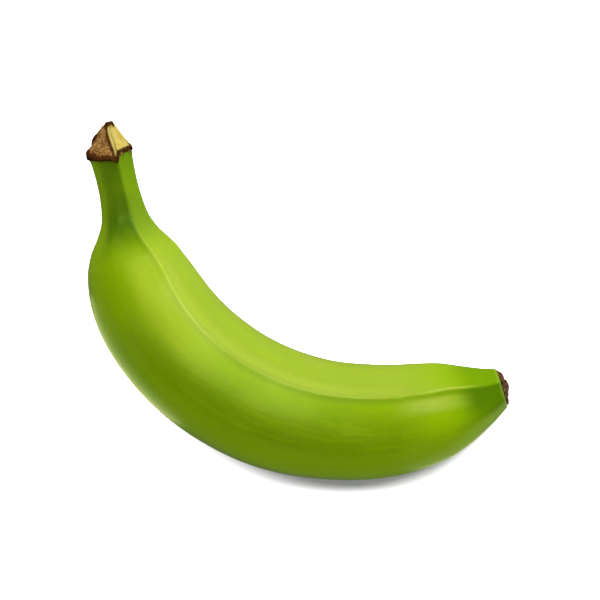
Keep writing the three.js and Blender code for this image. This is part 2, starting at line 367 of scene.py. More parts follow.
def walk_centreline(distances):
    """Place of the centreline at each distance"""
    path_distances = np.arange(0, FRUIT_LENGTH + WALK_STEP, WALK_STEP)
    forward = directions_at(path_distances[:-1] + WALK_STEP / 2)[0]
    path = np.vstack([np.zeros(3), np.cumsum(forward * WALK_STEP, axis=0)])
    places = np.stack([np.interp(distances, path_distances, axis) for axis in path.T], axis=1)
    level = np.interp(REST_FROM, path_distances, path[:, 2])
    places[:, 2] += resting_height(distances) - level
    return places


class Section:
    """One section, or one for each ring: where it is, and which way it faces"""

    def __init__(self, distances):
        self.distance = distances[:, None]
        self.origin = walk_centreline(distances)[:, None, :]
        self.forward, self.inward, self.up = (
            direction[:, None, :] for direction in directions_at(distances))
        self.lean = np.tan(np.radians(smooth_value(END_LEAN, distances)))[:, None]
        self.shift = smooth_value(SIDE_SHIFT, distances)[:, None]

    def place(self, across, high, out):
        """Points across and up in the section's plane, and out along the fruit"""
        points = (
            self.origin
            + self.inward * (self.shift + across)[..., None]
            + self.up * high[..., None]
            + self.forward * (out + across * self.lean)[..., None]
        )
        points[..., 2] = np.maximum(0, points[..., 2])
        return points

    def single_point(self, across, high, out):
        values = (np.array([[value]]) for value in (across, high, out))
        return self.place(*values)[0, 0]

    def skin(self, angle, out, spread=1.0, relief=0.0):
        """Points on the skin's outline scaled by spread, moved out along the fruit"""
        reach = skin_reach(angle, self.distance + 0 * angle) * spread + relief
        return self.place(reach * sin_degrees(angle), reach * cos_degrees(angle) * DEPTH_SHARE, out)


def ragged(angle, height, seed):
    """Uneven height of a torn edge at each angle round the stalk"""
    circle = np.stack([cos_degrees(angle), sin_degrees(angle), 0 * angle], axis=-1)
    return height * rough_noise(circle, RAGGED_WAVES, FINE_RAGGED_SHARE, seed)


def peel_end_at(angle):
    return straight_value(PEEL_END, angle) + ragged(angle, RAGGED_PEEL_END, PEEL_END_SEED)


def body_rings(sections):
    angles = ring_angles(sections.distance)
    distance = sections.distance + 0 * angles
    near_rim = np.clip(1 - distance / RAGGED_LENGTH, 0, 1) ** 2
    out = -peel_end_at(angles) * near_rim
    return sections.skin(angles, out, relief=skin_relief(angles, distance))


def wall_rings(section, shares):
    """Rings on the crown's wall, from the peel's end up to the torn edge"""
    angles = ring_angles(section.distance) + 0 * shares[:, None]
    peel_end = peel_end_at(angles)
    edge = straight_value(CROWN_EDGE, angles) + ragged(angles, RAGGED_EDGE, CROWN_EDGE_SEED)
    height = peel_end + (edge - peel_end) * shares[:, None]
    flare = CROWN_FLARE * np.maximum(0, -sin_degrees(angles)) ** FLARE_SHARPNESS
    spread = smooth_value(WALL_SPREAD, shares)[:, None] + flare
    rough_places = straightened(
        angles, section.distance - height, WALL_ROUGH_WIDTH, WALL_ROUGH_LENGTH)
    between_edges = np.sin(np.pi * shares)[:, None]
    rough = WALL_ROUGHNESS * noise_field(rough_places, WALL_SEED) * between_edges
    return section.skin(angles, -height, spread, rough)


def crown_peak(section):
    rim = HALF_WIDTH[0][1]
    return section.single_point(
        CROWN_PEAK["inward"] * rim, CROWN_PEAK["up"] * rim, -CROWN_PEAK["height"])


def torn_relief(points, angles, share):
    """Curls on the outer side of the crest and fibres on the inner side, none at the edges"""
    outer_side = np.clip((CROWN_CREST_ANGLE - angles) / RELIEF_BLEND, 0, 1)
    curls = rough_noise(points, CURL_WAVES, FINE_CURL_SHARE, CURL_SEED)
    up_fibre = share * FIBRE_WAVES + 0 * angles
    fibre_places = np.stack([angles / FIBRE_SPACING, up_fibre, 0 * angles], axis=-1)
    fibres = FIBRE_SHARE * noise_field(fibre_places, FIBRE_SEED)
    fade = np.sqrt(np.sin(np.pi * share))
    return TORN_RELIEF_HEIGHT * fade * (outer_side * curls + (1 - outer_side) * fibres)


def face_rings(section, shares):
    """Rings on the torn faces, between the crown's edge and its peak"""
    angles = ring_angles(section.distance) + 0 * shares[:, None]
    share = shares[:, None]
    peak = crown_peak(section)
    edge = wall_rings(section, np.array([1.0]))
    straight = edge + (peak - edge) * share[..., None]
    rise = np.minimum(1, share / PEAK_SHARE) ** straight_value(CROWN_RISE, angles)
    lift = (rise - share) * ((edge - peak) * section.forward).sum(axis=-1)
    points = straight - section.forward * lift[..., None]
    # A hollow is deepest half way between the edge and the peak.
    half_way = 4 * share * (1 - share)
    hollow = half_way * straight_value(CROWN_HOLLOW, angles)
    relief = torn_relief(points, angles, share)
    return points + section.forward * (hollow + relief)[..., None]


def scar_rings(section, levels):
    """Rings over the dry knob at the blossom end"""
    angles = ring_angles(section.distance) + 0 * levels[:, None]
    spread = smooth_value(SCAR_SPREAD, levels)[:, None] + 0 * angles
    leaning = 1 + SCAR_LEAN * spread * sin_degrees(angles)
    height = smooth_value(SCAR_HEIGHT, levels)[:, None] * leaning
    lump_places = section.skin(angles, height, spread) / SCAR_LUMP_SIZE
    lumps = rough_noise(lump_places, SCAR_LUMP_WAVES, FINE_LUMP_SHARE, SCAR_LUMP_SEED)
    on_knob = np.clip(levels - SCAR_MARGIN_LEVEL, 0, 1)[:, None]
    lump = SCAR_LUMP_HEIGHT * lumps * on_knob
    on_side = (levels / SCAR_TOP_LEVEL < BULGING_SHARE)[:, None]
    return section.skin(angles, height + lump, spread, LUMP_BULGE * lump * on_side)


def fruit_faces(ring_count):
    """A fan from the first point to the first ring, quads from ring to ring, and a last fan"""
    index = 1 + np.arange(ring_count * SIDES).reshape(ring_count, SIDES)
    after = np.roll(index, -1, axis=1)
    quads = np.stack([index[:-1], index[1:], after[1:], after[:-1]], axis=-1).reshape(-1, 4)
    last_point = 1 + ring_count * SIDES
    first_fan = np.stack([np.zeros(SIDES, int), index[0], after[0]], axis=-1)
    last_fan = np.stack([index[-1], np.full(SIDES, last_point), after[-1]], axis=-1)
    return first_fan.tolist() + quads.tolist() + last_fan.tolist()


def centred_on_solid(points):
    """The points moved level, so that the middle of their box is that of the solid's"""
    box_low, box_high = (np.array(corner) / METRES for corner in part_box("plantain"))
    shift = (box_low + box_high) / 2 - (points.min(axis=0) + points.max(axis=0)) / 2
    return points + np.array([shift[0], shift[1], 0])


def write_attribute(mesh, name, ring_values, first_value, last_value):
    """Stores a value for each point: the rings' values, and one for the point at each end"""
    size = np.size(first_value)
    kind, field = ("FLOAT_VECTOR", "vector") if size == 3 else ("FLOAT", "value")
    rows = np.vstack([
        np.reshape(first_value, (1, size)),
        np.reshape(ring_values, (-1, size)),
        np.reshape(last_value, (1, size)),
    ])
    attribute = mesh.attributes.new(name, kind, "POINT")
    attribute.data.foreach_set(field, rows.astype(np.float32).ravel())


def write_places(mesh, peel_distances):
    """Stores where each point lies on the fruit, which is what the materials read"""
    ring_counts = (FACE_RINGS, WALL_RINGS, len(peel_distances), SCAR_RINGS)

    def point_values(*group_values):
        """A value for each point, from one value or one for each ring in each group of rings"""
        rings = [np.full(count, value, float) for count, value in zip(ring_counts, group_values)]
        return np.repeat(np.concatenate(rings)[:, None], SIDES, axis=1)

    along = point_values(0, 0, peel_distances, FRUIT_LENGTH)
    around = ring_angles(along)
    straight_place = straightened(around, along) / MM_PER_CM
    straight_end = (FRUIT_LENGTH / MM_PER_CM, 0, 0)
    write_attribute(mesh, "straight_place", straight_place, (0, 0, 0), straight_end)
    write_attribute(mesh, "around", around, 0, 0)
    write_attribute(mesh, "along", along, 0, FRUIT_LENGTH)
    write_attribute(mesh, "from_upper_ridge", ridge_offsets(around, along)[0], 0, 0)
    write_attribute(mesh, "torn_share", point_values(FACE_SHARES, 0, 0, 0), 1, 0)
    write_attribute(mesh, "wall_share", point_values(1, WALL_SHARES, 0, 0), 1, 0)
    write_attribute(mesh, "scar_level", point_values(0, 0, 0, SCAR_LEVELS / SCAR_TOP_LEVEL), 0, 1)


def choose_materials(mesh, peel_ring_count):
    """The crown's rows of faces, from the fan at its peak, and then the peel's and the scar's"""
    rows = np.array([1 + FACE_RINGS + WALL_RINGS, peel_ring_count, SCAR_RINGS])
    material_index = np.repeat((CROWN, PEEL, SCAR), rows * SIDES)
    mesh.polygons.foreach_set("material_index", material_index.astype(np.int32))


def make_fruit():
    """The whole fruit as one mesh, with what its materials need to know about each point"""
    peel_distances = ring_distances()
    stalk_end = Section(np.array([0.0]))
    blossom_end = Section(np.array([float(FRUIT_LENGTH)]))
    rings = np.concatenate([
        face_rings(stalk_end, FACE_SHARES),
        wall_rings(stalk_end, WALL_SHARES),
        body_rings(Section(peel_distances)),
        scar_rings(blossom_end, SCAR_LEVELS),
    ])
    scar_top = blossom_end.single_point(0, 0, SCAR_TOP)
    points = np.vstack([crown_peak(stalk_end), rings.reshape(-1, 3), scar_top])

    mesh = bpy.data.meshes.new("plantain_skin")
    places = centred_on_solid(points) * METRES
    mesh.from_pydata(places.tolist(), [], fruit_faces(len(rings)))
    mesh.validate()
    write_places(mesh, peel_distances)
    choose_materials(mesh, len(peel_distances))
    mesh.polygons.foreach_set("use_smooth", np.ones(len(mesh.polygons), dtype=bool))
    mesh.update()

    fruit = bpy.data.objects.new("plantain_skin", mesh)
    bpy.context.scene.collection.objects.link(fruit)
    return fruit


class Nodes:
    """Short ways to add the nodes of one material"""

    def __init__(self, name):
        self.material = bpy.data.materials.new(name)
        self.material.use_nodes = True
        self.tree = self.material.node_tree
        self.tree.nodes.clear()
        self.shader = self.add("ShaderNodeBsdfPrincipled")
        output = self.add("ShaderNodeOutputMaterial")
        self.tree.links.new(self.shader.outputs["BSDF"], output.inputs["Surface"])

    def add(self, kind, **settings):
        node = self.tree.nodes.new(kind)
        for key, value in settings.items():
            setattr(node, key, value)
        return node

    def feed(self, socket, value):
        if isinstance(value, bpy.types.NodeSocket):
            self.tree.links.new(value, socket)
        else:
            socket.default_value = value

    def attribute(self, name, output="Fac"):
        return self.add("ShaderNodeAttribute", attribute_name=name).outputs[output]

    def math(self, operation, first, second=0.0, clamp=False):
        node = self.add("ShaderNodeMath", operation=operation, use_clamp=clamp)
        self.feed(node.inputs[0], first)
        self.feed(node.inputs[1], second)
        return node.outputs[0]

    def product(self, *factors):
        result = factors[0]
        for factor in factors[1:]:
            result = self.math("MULTIPLY", result, factor)
        return result

    def scaled_plus(self, value, factor, added):
        """value times factor, plus another value"""
        return self.math("ADD", self.math("MULTIPLY", value, factor), added)

    def ramp(self, value, low, high, start=0.0, end=1.0):
        """start where value is low, end where it is high, and a smooth rise between"""
        node = self.add("ShaderNodeMapRange", interpolation_type="SMOOTHSTEP")
        for socket, given in zip(node.inputs, (value, low, high, start, end)):
            self.feed(socket, given)
        return node.outputs[0]

    def stretched(self, vector, scale):
        node = self.add("ShaderNodeVectorMath", operation="MULTIPLY")
        self.feed(node.inputs[0], vector)
        node.inputs[1].default_value = scale
        return node.outputs[0]

    def noise(self, vector, scale=1.0, detail=3.0, roughness=0.5, distortion=0.0):
        node = self.add("ShaderNodeTexNoise")
        self.feed(node.inputs["Vector"], vector)
        node.inputs["Scale"].default_value = scale
        node.inputs["Detail"].default_value = detail
        node.inputs["Roughness"].default_value = roughness
        node.inputs["Distortion"].default_value = distortion
        return node.outputs["Fac"]

    def cells(self, vector):
        node = self.add("ShaderNodeTexVoronoi", feature="F1")
        self.feed(node.inputs["Vector"], vector)
        node.inputs["Scale"].default_value = 1.0
        node.inputs["Randomness"].default_value = 1.0
        return node.outputs["Distance"]

    def mix(self, share, first, second):
        """The first colour where share is 0, and the second where it is 1"""
        node = self.add("ShaderNodeMix", data_type="RGBA")
        # Its sockets for numbers and vectors come before those for colours.
        first_colour, second_colour = node.inputs[6:8]
        self.feed(node.inputs["Factor"], share)
        self.feed(first_colour, first)
        self.feed(second_colour, second)
        return node.outputs[2]

    def patch_share(self, readings, spans):
        """How strongly a patch with these spans shows"""
        return self.product(*(self.ramp(readings[name], *span) for name, span in spans))

    def patched(self, colour, readings, patches):
        """The colour, with each patch painted over it in turn"""
        for paint, spans in patches:
            colour = self.mix(self.patch_share(readings, spans), colour, paint)
        return colour

    def bump(self, height, strength, distance):
        node = self.add("ShaderNodeBump")
        self.feed(node.inputs["Height"], height)
        node.inputs["Strength"].default_value = strength
        node.inputs["Distance"].default_value = distance
        self.tree.links.new(node.outputs["Normal"], self.shader.inputs["Normal"])

    def finish(self, colour, roughness, specular):
        self.feed(self.shader.inputs["Base Color"], colour)
        self.feed(self.shader.inputs["Roughness"], roughness)
        self.shader.inputs["Specular IOR Level"].default_value = specular
        return self.material


def display_colour(red, green, blue):
    """Shader colour of an sRGB colour, as a screen shows it, 0 to 255"""
    shares = np.array([red, green, blue]) / 255
    linear = np.where(shares <= 0.04045, shares / 12.92, ((shares + 0.055) / 1.055) ** 2.4)
    return (*linear.tolist(), 1.0)


BODY_GREEN = display_colour(138, 177, 0)
NECK_GREEN = display_colour(94, 137, 0)
STALK_BASE_SHADE_GREEN = display_colour(58, 104, 0)
SHADY_NECK_GREEN = display_colour(84, 120, 0)
TIP_GREEN = display_colour(94, 139, 0)
SHADY_TIP_GREEN = display_colour(72, 114, 0)
SHADY_GREEN = display_colour(126, 168, 0)
PAINTED_SHADE_GREEN = display_colour(62, 84, 0)
YELLOW_GREEN = display_colour(146, 173, 62)
PALE_GREEN = display_colour(172, 196, 84)
LOW_INNER_SHADE_GREEN = display_colour(118, 122, 62)
SHOULDER_HIGHLIGHT_GREEN = display_colour(172, 200, 36)
LIGHT_GREEN = display_colour(156, 192, 6)
DARK_SPECK = display_colour(96, 128, 8)
PALE_SPECK = display_colour(164, 190, 50)
DRY_BROWN = display_colour(80, 52, 20)
RIM_BLACK = display_colour(16, 8, 2)
RIM_BROWN = display_colour(66, 38, 15)
TAN = display_colour(116, 84, 46)
PALE_TAN = display_colour(164, 130, 82)
RUST = display_colour(82, 44, 14)
CREAM = display_colour(190, 182, 112)
BUTTER = display_colour(176, 150, 72)
RED_BROWN = display_colour(64, 26, 8)
SCAR_DARK = display_colour(26, 16, 12)
SCAR_BROWN = display_colour(90, 60, 40)
SCAR_HIGHLIGHT = display_colour(150, 112, 82)

# Patches of colour on the peel, painted in this order. "along" is the distance from the rim,
# "around" the angle round the fruit, "from_ridge" the distance from the upper ridge, negative
# on its outer side, and "from_line" the distance from the pale line on its crest. A span gives
# the value where the colour starts and the value where it is full, and then, where they aren't
# 0 and 1, its strength at both. A patch shows as far as all of its spans do.

# The inner side of the bend, from the upper ridge round to the underside
INNER_SIDE = [("from_ridge", (-1.3, 0.7)), ("around", (170, 130))]

# The stalk and the blossom end are a deeper green than the body. The stalk's face just outside the
# upper ridge is painted shade, darkest near its base; its lit inner side and the far part of its
# outer side are lighter.
MAIN_PATCHES = [
    (NECK_GREEN, INNER_SIDE),
    (BODY_GREEN, [("around", (-18, -52))]),
    # Painted shade at the base of the stalk, on its outer side
    (STALK_BASE_SHADE_GREEN, [
        ("along", (14, 30, 0, 0.75)), ("from_ridge", (0, -1.2)), ("around", (-70, -30)),
    ]),
    (BODY_GREEN, [("along", (27, 45))]),
    (TIP_GREEN, [("along", (198, 216, 0, 0.8))]),
]

SIDE_PATCHES = [
    # Painted shade: a deeper green on the body's outer slope. Beyond it, a lighter band is painted
    # bounce light from the floor.
    (PAINTED_SHADE_GREEN, [
        ("around", (22, -6, 0, 0.34)), ("around", (-44, -18)),
        ("along", (46, 90, 0.4, 1)), ("along", (196, 176)),
    ]),
    (LIGHT_GREEN, [("around", (-24, -40, 0, 0.35)), ("around", (-72, -54)), ("along", (80, 104))]),
    # A painted highlight: the shoulder is paler beside the upper ridge.
    (SHOULDER_HIGHLIGHT_GREEN, [
        ("around", (-16, 8, 0, 0.42)), ("from_ridge", (1, -1)),
        ("along", (36, 54)), ("along", (108, 80)),
    ]),
    # Painted shade: the skin is a greyer, darker green low on the inner side of the bend.
    (LOW_INNER_SHADE_GREEN, [("around", (62, 104, 0, 0.5)), ("along", (40, 110)), ("along", (218, 160))]),
]

RIDGE_PATCHES = [
    # A painted highlight: the peel is paler above the upper ridge.
    (PALE_GREEN, [
        ("from_ridge", (0.3, 1.6)), ("from_ridge", (8, 2)),
        ("along", (34, 62, 0, 0.35)), ("along", (190, 145)),
    ]),
    # Below it, there is painted shade near the blossom end, a thin darker line along the ridge, and
    # a painted highlight further out near the blossom end.
    (SHADY_TIP_GREEN, [
        ("from_ridge", (0, -1.5)), ("from_ridge", (-17, -6)), ("along", (205, 215, 0, 0.84)),
    ]),
    (SHADY_TIP_GREEN, [
        ("from_ridge", (-0.3, -0.9)), ("from_ridge", (-3.6, -1.4)),
        ("along", (150, 90, 0.38, 0.22)),
    ]),
    (PALE_GREEN, [
        ("from_ridge", (-1.2, -3.8)), ("from_ridge", (-9.5, -5.5)),
        ("along", (176, 194, 0, 0.65)), ("along", (214, 196)),
    ]),
    # Its crest is a fine pale line on the shoulder and near the blossom end, a painted highlight.
    (PALE_GREEN, [("from_line", (0.7, 0.2)), ("along", (24, 60)), ("along", (112, 70, 0, 0.9))]),
    (PALE_GREEN, [
        ("from_line", (0.7, 0.2)), ("along", (188, 200, 0, 0.6)), ("along", (219, 206)),
    ]),
]
LINE_PLACE = 0.15

# Painted shade: the outer side of the middle of the body is a deeper green, over the streaks.
FLANK_SHADE_PATCHES = [
    (PAINTED_SHADE_GREEN, [("around", (-62, -84, 0, 0.6)), ("along", (74, 124)), ("along", (192, 150))]),
]
SCAR_EDGE_PATCHES = [(PALE_GREEN, [("along", (FRUIT_LENGTH - 1.2, FRUIT_LENGTH, 0, 0.2))])]

# Where the streaks and the warmer areas show, faintly on the stalk, and not at the blossom end
ON_BODY = [("along", (10, 60, 0.15, 1)), ("along", (216, 180))]

# Patterns on the straightened fruit, in waves per centimetre, or three for along and across
CLOUD_WAVES = 0.5
WARMTH_WAVES = (0.25, 0.8, 0.8)
BAND_WAVES = (0.35, 2.4, 2.4)
STREAK_WAVES = (1.3, 9.0, 9.0)
GRAIN_WAVES = (9.0, 14.0, 14.0)
PORE_WAVES = (14.0, 22.0, 22.0)
SPECK_WAVES = (3.2, 5.5, 5.5)
DOT_WAVES = (4.5, 8.0, 8.0)
SCATTER_WAVES = 1.6
STAIN_WAVES = 6.0
GLOSS_WAVES = 1.1

# Spans of a pattern's value, like the spans of a patch
CLOUDED = (0.55, 0.35, 0, 0.3)
WARM = (0.5, 0.75, 0, 0.2)
PALE_BANDS = (0.5, 0.7, 0, 0.2)
DARK_BANDS = (0.48, 0.3, 0, 0.22)
PALE_STREAKS = (0.52, 0.75, 0, 0.14)
DARK_STREAKS = (0.46, 0.28, 0, 0.18)
PALE_GRAIN = (0.55, 0.7, 0, 0.1)
DARK_GRAIN = (0.45, 0.3, 0, 0.07)
SPECKS = (0.13, 0.05, 0, 0.2)
SPECKLED = (0.42, 0.62)
DOTS = (0.12, 0.04, 0, 0.25)
DOTTED = (0.4, 0.6)
STAINED = (0.3, 0.7, 0, 0.5)
STAIN_REACH = (2.5, 0)
PEEL_ROUGHNESS = (0.3, 0.7, 0.3, 0.38)
ROUGH_STALK = (50, 32, 0, 0.5)

# Strength of the inner side's yellow, a painted light, and of the streaks and the pores in the
# peel's relief
LIT_SIDE_YELLOW = 0.7
STREAK_RELIEF = 0.6
PORE_RELIEF = 0.4


def peel_readings(nodes):
    """What the peel's patches are placed by"""
    from_ridge = nodes.attribute("from_upper_ridge")
    return {
        "along": nodes.attribute("along"),
        "around": nodes.attribute("around"),
        "from_ridge": from_ridge,
        "from_line": nodes.math("ABSOLUTE", nodes.math("SUBTRACT", from_ridge, LINE_PLACE)),
    }


def warmed_and_lit(nodes, colour, place, readings, on_body):
    """Painted light: the lit inner side of the bend is yellower. Faint areas all over are yellower
    too, in the peel's own tone.
    """
    warmth = nodes.noise(nodes.stretched(place, WARMTH_WAVES), detail=2.0)
    inner_side = nodes.patch_share(readings, INNER_SIDE)
    warm = nodes.scaled_plus(inner_side, LIT_SIDE_YELLOW, nodes.ramp(warmth, *WARM))
    share = nodes.math("MULTIPLY", warm, on_body, clamp=True)
    return nodes.mix(share, colour, YELLOW_GREEN)


def streaked(nodes, colour, place, streaks, on_body):
    """Wide bands, streaks and fine grain along the fruit"""
    bands = nodes.noise(nodes.stretched(place, BAND_WAVES), roughness=0.55)
    for pattern, span, paint in (
        (bands, PALE_BANDS, LIGHT_GREEN),
        (bands, DARK_BANDS, SHADY_GREEN),
        (streaks, PALE_STREAKS, LIGHT_GREEN),
        (streaks, DARK_STREAKS, SHADY_GREEN),
    ):
        share = nodes.product(nodes.ramp(pattern, *span), on_body)
        colour = nodes.mix(share, colour, paint)
    grain = nodes.noise(nodes.stretched(place, GRAIN_WAVES), detail=2.0)
    colour = nodes.mix(nodes.ramp(grain, *DARK_GRAIN), colour, SHADY_TIP_GREEN)
    return nodes.mix(nodes.product(nodes.ramp(grain, *PALE_GRAIN), on_body), colour, LIGHT_GREEN)


def speckled(nodes, colour, place, clouds):
    """Fine dark specks and pale dots, each in some areas only"""
    specks = nodes.cells(nodes.stretched(place, SPECK_WAVES))
    scatter = nodes.noise(place, SCATTER_WAVES, detail=1.0)
    share = nodes.product(nodes.ramp(specks, *SPECKS), nodes.ramp(scatter, *SPECKLED))
    colour = nodes.mix(share, colour, DARK_SPECK)
    dots = nodes.cells(nodes.stretched(place, DOT_WAVES))
    share = nodes.product(nodes.ramp(dots, *DOTS), nodes.ramp(clouds, *DOTTED))
    return nodes.mix(share, colour, PALE_SPECK)


def stained(nodes, colour, place, readings):
    """Dry brown stains where the peel ends at the crown"""
    stains = nodes.ramp(nodes.noise(place, STAIN_WAVES), *STAINED)
    share = nodes.product(nodes.ramp(readings["along"], *STAIN_REACH), stains)
    return nodes.mix(share, colour, DRY_BROWN)


def peel_material():
    nodes = Nodes("green_peel")
    place = nodes.attribute("straight_place", "Vector")
    readings = peel_readings(nodes)
    on_body = nodes.patch_share(readings, ON_BODY)
    clouds = nodes.noise(place, CLOUD_WAVES)
    streaks = nodes.noise(nodes.stretched(place, STREAK_WAVES), detail=4.0, roughness=0.6)

    colour = nodes.patched(SHADY_NECK_GREEN, readings, MAIN_PATCHES)
    colour = nodes.mix(nodes.ramp(clouds, *CLOUDED), colour, SHADY_GREEN)
    colour = warmed_and_lit(nodes, colour, place, readings, on_body)
    colour = nodes.patched(colour, readings, SIDE_PATCHES + RIDGE_PATCHES)
    colour = streaked(nodes, colour, place, streaks, on_body)
    colour = nodes.patched(colour, readings, FLANK_SHADE_PATCHES)
    colour = speckled(nodes, colour, place, clouds)
    colour = stained(nodes, colour, place, readings)
    colour = nodes.patched(colour, readings, SCAR_EDGE_PATCHES)

    pores = nodes.noise(nodes.stretched(place, PORE_WAVES), detail=2.0)
    relief = nodes.scaled_plus(streaks, STREAK_RELIEF, nodes.product(pores, PORE_RELIEF))
    nodes.bump(relief, strength=0.2, distance=0.0003)
    peel_roughness = nodes.ramp(nodes.noise(place, GLOSS_WAVES), *PEEL_ROUGHNESS)
    added_roughness = nodes.ramp(readings["along"], *ROUGH_STALK)
    roughness = nodes.math("ADD", peel_roughness, added_roughness)
    # A thin waxy coat whitens the peel only where it is seen at a glancing angle.
    nodes.shader.inputs["Coat Weight"].default_value = 0.5
    nodes.shader.inputs["Coat IOR"].default_value = 1.1
    nodes.shader.inputs["Coat Roughness"].default_value = 0.2
    return nodes.finish(colour, roughness, specular=0.03)


# Patterns on the crown and the scar, in waves per metre, and the fibres' waves per degree and
# on the way to the peak
CURL_PATTERN_WAVES = 360.0
BLOTCH_WAVES = 300.0
WOBBLE_WAVES = 500.0
LUMP_PATTERN_WAVES = 560.0
HIGHLIGHT_FLECK_WAVES = 900.0
FIBRE_PATTERN_WAVES = (0.16, 3.0)

# The crest between the torn faces starts at the rim's notch, and bends to the outer side of the
# peak. Its dark line lies on the outer side and is wider towards the peak. All in degrees
CREST_FIRST_BEND = 10.0
CREST_LATER_BEND = 68.0
CREST_LINE_PLACE = 4.0
CREST_LINE_WIDTH = 6.0
CREST_LINE_WIDENING = 12.0
CREST_LINE_WOBBLE = 5.0

# Spans on the crown: of its patterns, of the angle round it, of the share of the way to its peak,
# and of the share of the way up its wall
OUTER_FACE = (2, -2)
CREST_LINE = (2, -3, 0, 0.85)
PALE_CURLS = (0.42, 0.6)
RUSTY_CURLS = (0.46, 0.34, 0, 0.75)
RUSTY_BLOTCHES = (0.55, 0.7, 0, 0.6)
BUTTER_FIBRES = (0.42, 0.66)
DRY_PEAK = (0.74, 0.84)
DRY_EDGE = (-0.03, 0.05)
DRY_EDGE_REACH = (90, 130, 0.03, 0.26)
ON_WALL = (0.52, 0.4)
BROWN_BARK = (0.35, 0.6)
RUSTY_BARK = (0.5, 0.66, 0, 0.6)
PALE_BARK = (0.5, 0.6, 0, 0.8)
PALE_BARK_START = (18, 26)
PALE_BARK_END = (84, 66)
PEAK_UNEVENNESS = 0.1
EDGE_UNEVENNESS = 0.14
WALL_UNEVENNESS = 0.35

# Spans on the scar, of its patterns and of the level as a share of the top one
BROWN_LUMPS = (0.42, 0.56)
HIGHLIGHT_FLECKS = (0.56, 0.68, 0, 0.6)
MARGIN_AT_RIDGE = (0.75, 0.97)
GREEN_MARGIN = (0.12, 0.04)
GAP_START = (0.05, 0.14)
GAP_END = (0.3, 0.2)


def tan_face(nodes, curls, blotches):
    """The corky face on the outer side of the crest"""
    colour = nodes.mix(nodes.ramp(curls, *PALE_CURLS), TAN, PALE_TAN)
    colour = nodes.mix(nodes.ramp(curls, *RUSTY_CURLS), colour, RUST)
    return nodes.mix(nodes.ramp(blotches, *RUSTY_BLOTCHES), colour, RUST)


def cream_face(nodes, around, torn):
    """The face on the crest's inner side, with fibres from the tear's edge to its peak"""
    across_waves, along_waves = FIBRE_PATTERN_WAVES
    fibre_place = nodes.add("ShaderNodeCombineXYZ")
    nodes.feed(fibre_place.inputs["X"], nodes.product(around, across_waves))
    nodes.feed(fibre_place.inputs["Y"], nodes.product(torn, along_waves))
    fibres = nodes.noise(fibre_place.outputs["Vector"], roughness=0.6, distortion=0.4)
    return nodes.mix(nodes.ramp(fibres, *BUTTER_FIBRES), CREAM, BUTTER)


def dark_crest(nodes, colour, past_crest, torn, position):
    """A dry line from the notch to the peak"""
    from_line = nodes.math("ABSOLUTE", nodes.math("ADD", past_crest, CREST_LINE_PLACE))
    wobble = nodes.product(nodes.noise(position, WOBBLE_WAVES), CREST_LINE_WOBBLE)
    width = nodes.scaled_plus(torn, CREST_LINE_WIDENING, CREST_LINE_WIDTH)
    past_line = nodes.math("SUBTRACT", nodes.math("ADD", from_line, wobble), width)
    return nodes.mix(nodes.ramp(past_line, *CREST_LINE), colour, RED_BROWN)


def dark_ends(nodes, colour, around, torn, curls, blotches):
    """The peak and the tear's edge are dry, the edge further in where it faces the underside."""
    uneven_torn = nodes.scaled_plus(curls, PEAK_UNEVENNESS, torn)
    colour = nodes.mix(nodes.ramp(uneven_torn, *DRY_PEAK), colour, RIM_BROWN)
    reach = nodes.ramp(nodes.math("ABSOLUTE", around), *DRY_EDGE_REACH)
    from_edge = nodes.scaled_plus(blotches, -EDGE_UNEVENNESS, torn)
    edge = nodes.ramp(nodes.math("SUBTRACT", reach, from_edge), *DRY_EDGE)
    return nodes.mix(edge, colour, RIM_BROWN)


def bark(nodes, around, curls, blotches):
    """The crown's wall: dark, with rust blotches, and pale spots on the inner side of its rim"""
    colour = nodes.mix(nodes.ramp(curls, *BROWN_BARK), RIM_BLACK, RIM_BROWN)
    colour = nodes.mix(nodes.ramp(blotches, *RUSTY_BARK), colour, RUST)
    pale_spots = nodes.product(
        nodes.ramp(around, *PALE_BARK_START),
        nodes.ramp(around, *PALE_BARK_END),
        nodes.ramp(curls, *PALE_BARK),
    )
    return nodes.mix(pale_spots, colour, PALE_TAN)


def crown_material():
    nodes = Nodes("torn_crown")
    around = nodes.attribute("around")
    torn = nodes.attribute("torn_share")
    wall = nodes.attribute("wall_share")
    position = nodes.add("ShaderNodeTexCoord").outputs["Object"]
    curls = nodes.noise(position, CURL_PATTERN_WAVES, distortion=3.0)
    blotches = nodes.noise(position, BLOTCH_WAVES, roughness=0.6, distortion=0.6)

    bend = nodes.product(torn, nodes.scaled_plus(torn, CREST_LATER_BEND, CREST_FIRST_BEND))
    past_crest = nodes.math("SUBTRACT", nodes.math("ADD", around, bend), CROWN_CREST_ANGLE)
    outer_face = nodes.ramp(past_crest, *OUTER_FACE)
    colour = nodes.mix(outer_face, cream_face(nodes, around, torn), tan_face(nodes, curls, blotches))
    colour = dark_crest(nodes, colour, past_crest, torn, position)
    colour = dark_ends(nodes, colour, around, torn, curls, blotches)
    on_wall = nodes.ramp(nodes.scaled_plus(blotches, -WALL_UNEVENNESS, wall), *ON_WALL)
    colour = nodes.mix(on_wall, colour, bark(nodes, around, curls, blotches))
    nodes.bump(curls, strength=0.6, distance=0.0005)
    return nodes.finish(colour, roughness=0.8, specular=0.01)


def green_margin(nodes):
    """The scar's margin is paler where a ridge of the peel ends."""
    ridge_angle = FIRST_RIDGE + RIDGE_TWIST[-1][1]
    from_ridge = nodes.math("SUBTRACT", nodes.attribute("around"), ridge_angle)
    # The cosine is 1 at every ridge.
    phase = nodes.product(from_ridge, math.radians(RIDGE_COUNT))
    at_ridge = nodes.ramp(nodes.math("COSINE", phase), *MARGIN_AT_RIDGE)
    return nodes.mix(at_ridge, TIP_GREEN, PALE_GREEN)


